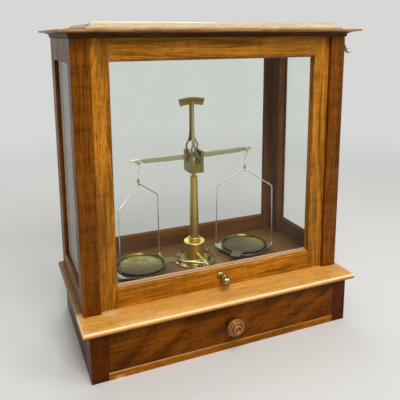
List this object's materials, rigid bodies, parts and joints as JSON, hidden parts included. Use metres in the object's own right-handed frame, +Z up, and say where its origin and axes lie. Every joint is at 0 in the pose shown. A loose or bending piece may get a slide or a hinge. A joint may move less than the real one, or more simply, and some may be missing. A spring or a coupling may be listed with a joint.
{
  "type": "boxed balance scale",
  "caption": "Glazed wooden case with a rising front sash and a drawer, holding a small brass beam balance with hanging pans.",
  "frame": {"origin": "middle of the plinth's footprint, on the surface that the case stands on", "axes": "+Z up; the sash and the drawer face -Y; the catch is on the +X side"},
  "size_m": [0.4246, 0.2459, 0.4464],
  "materials": {
    "case_wood": "french polished mahogany",
    "plinth_wood": "french polished mahogany",
    "roof_wood": "french polished mahogany",
    "sash_wood": "french polished mahogany",
    "drawer_wood": "polished flame mahogany",
    "knob_wood": "polished turned mahogany",
    "inner_wood": "bare wood",
    "glass": "clear",
    "knob_brass": "worn polished",
    "catch_metal": "worn plated",
    "stand_brass": "lacquered",
    "screw_brass": "darkened",
    "lift_brass": "lacquered",
    "bearing_steel": "ground",
    "beam_brass": "darkened lacquer",
    "wire_steel": "bright wire",
    "hook_brass": "lacquered",
    "carrier_brass": "pale tarnished",
    "pan_brass": "dark tarnished"
  },
  "bodies": {
    "case": {"plinth_side_left": "plinth_wood", "plinth_side_right": "plinth_wood", "plinth_back": "plinth_wood", "plinth_bottom": "inner_wood", "plinth_stiles": "plinth_wood", "plinth_front_rail": "plinth_wood", "plinth_top": "plinth_wood", "post_front_left": "case_wood", "post_front_right": "case_wood", "post_back_left": "case_wood", "post_back_right": "case_wood", "side_rails_left": "case_wood", "side_rails_right": "case_wood", "back_rails": "case_wood", "back_stiles": "case_wood", "glass_left": "glass", "glass_right": "glass", "glass_back": "glass", "roof_board": "roof_wood", "roof_panel": "roof_wood", "balance_base": "stand_brass", "drum": "stand_brass", "column": "stand_brass"},
    "sash": {"sash_stile_left": "sash_wood", "sash_stile_right": "sash_wood", "sash_rail_top": "sash_wood", "sash_rail_bottom": "sash_wood", "sash_glass": "glass", "sash_knob": "knob_brass"},
    "drawer": {"drawer_front": "drawer_wood", "drawer_sides": "inner_wood", "drawer_back": "inner_wood", "drawer_bottom": "inner_wood", "drawer_knob": "knob_wood"},
    "catch": {"catch_spring": "catch_metal", "catch_knob": "catch_metal"},
    "screw_left": {"thumbscrew_left": "screw_brass"},
    "screw_right": {"thumbscrew_right": "screw_brass"},
    "lever": {"control_shaft": "lift_brass", "lever_handle": "lift_brass", "lift_cam": "lift_brass"},
    "lift": {"lift_rod": "lift_brass", "beam_head": "stand_brass", "bearings": "bearing_steel", "index_plate": "stand_brass"},
    "beam": {"beam": "beam_brass", "knives": "bearing_steel", "pointer": "beam_brass"},
    "stirrup_left": {"stirrup_left": "wire_steel"},
    "stirrup_right": {"stirrup_right": "wire_steel"},
    "hook_left": {"hook_left": "hook_brass"},
    "hook_right": {"hook_right": "hook_brass"},
    "hanger_left": {"bow_left": "wire_steel", "bow_nuts_left": "wire_steel", "carrier_left": "carrier_brass"},
    "hanger_right": {"bow_right": "wire_steel", "bow_nuts_right": "wire_steel", "carrier_right": "carrier_brass"},
    "pan_left": {"pan_left": "pan_brass"},
    "pan_right": {"pan_right": "pan_brass"}
  },
  "joints": [
    {"name": "sash_slide", "type": "slide", "parent": "case", "child": "sash", "axis": [0, 0, 1], "range_m": [0, 0.25]},
    {"name": "drawer_slide", "type": "slide", "parent": "case", "child": "drawer", "axis": [0, -1, 0], "range_m": [0, 0.12]},
    {"name": "catch_flex", "type": "hinge", "parent": "case", "child": "catch", "pos_m": [0.196, -0.062, 0.4264], "axis": [0, -1, 0], "range_deg": [0, 5], "stiffness_Nm_per_rad": 1},
    {"name": "screw_left_turn", "type": "hinge", "parent": "case", "child": "screw_left", "pos_m": [-0.0257, 0.03, 0.0791], "axis": [0, 0, 1], "continuous": true},
    {"name": "screw_right_turn", "type": "hinge", "parent": "case", "child": "screw_right", "pos_m": [0.0257, 0.03, 0.0791], "axis": [0, 0, 1], "continuous": true},
    {"name": "lift_slide", "type": "slide", "parent": "case", "child": "lift", "axis": [0, 0, -1], "range_m": [0, 0.0024]},
    {"name": "lever_turn", "type": "hinge", "parent": "case", "child": "lever", "pos_m": [0, 0.03, 0.0901], "axis": [0, 1, 0], "range_deg": [0, 60]},
    {"name": "beam_rock", "type": "hinge", "parent": "lift", "child": "beam", "pos_m": [0, 0.03, 0.2502], "axis": [0, 1, 0], "range_deg": [-0.6, 2.4]},
    {"name": "stirrup_left_hang", "type": "hinge", "parent": "beam", "child": "stirrup_left", "pos_m": [-0.08897, 0.03, 0.2475], "axis": [0, 1, 0], "range_deg": [-2.4, 0.6]},
    {"name": "hook_left_swivel", "type": "hinge", "parent": "stirrup_left", "child": "hook_left", "pos_m": [-0.08897, 0.03, 0.2159], "axis": [0, 0, 1], "range_deg": [-25, 25]},
    {"name": "hanger_left_swing", "type": "hinge", "parent": "hook_left", "child": "hanger_left", "pos_m": [-0.08897, 0.03, 0.2125], "axis": [0.8271, 0.5621, 0], "range_deg": [-1.2, 1.2]},
    {"name": "pan_left_lift", "type": "slide", "parent": "hanger_left", "child": "pan_left", "axis": [0, 0, 1], "range_m": [0, 0.03]},
    {"name": "stirrup_right_hang", "type": "hinge", "parent": "beam", "child": "stirrup_right", "pos_m": [0.08901, 0.03, 0.2503], "axis": [0, 1, 0], "range_deg": [-2.4, 0.6]},
    {"name": "hook_right_swivel", "type": "hinge", "parent": "stirrup_right", "child": "hook_right", "pos_m": [0.08901, 0.03, 0.2187], "axis": [0, 0, 1], "range_deg": [-25, 25]},
    {"name": "hanger_right_swing", "type": "hinge", "parent": "hook_right", "child": "hanger_right", "pos_m": [0.08901, 0.03, 0.2153], "axis": [0.9391, -0.3437, 0], "range_deg": [-1.2, 1.2]},
    {"name": "pan_right_lift", "type": "slide", "parent": "hanger_right", "child": "pan_right", "axis": [0, 0, 1], "range_m": [0, 0.03]}
  ],
  "couplings": [
    {"joint": "lever_turn", "follows": "lift_slide", "rad_per_m": 436.33},
    {"joint": "stirrup_left_hang", "follows": "beam_rock", "ratio": -1},
    {"joint": "stirrup_right_hang", "follows": "beam_rock", "ratio": -1}
  ]
}
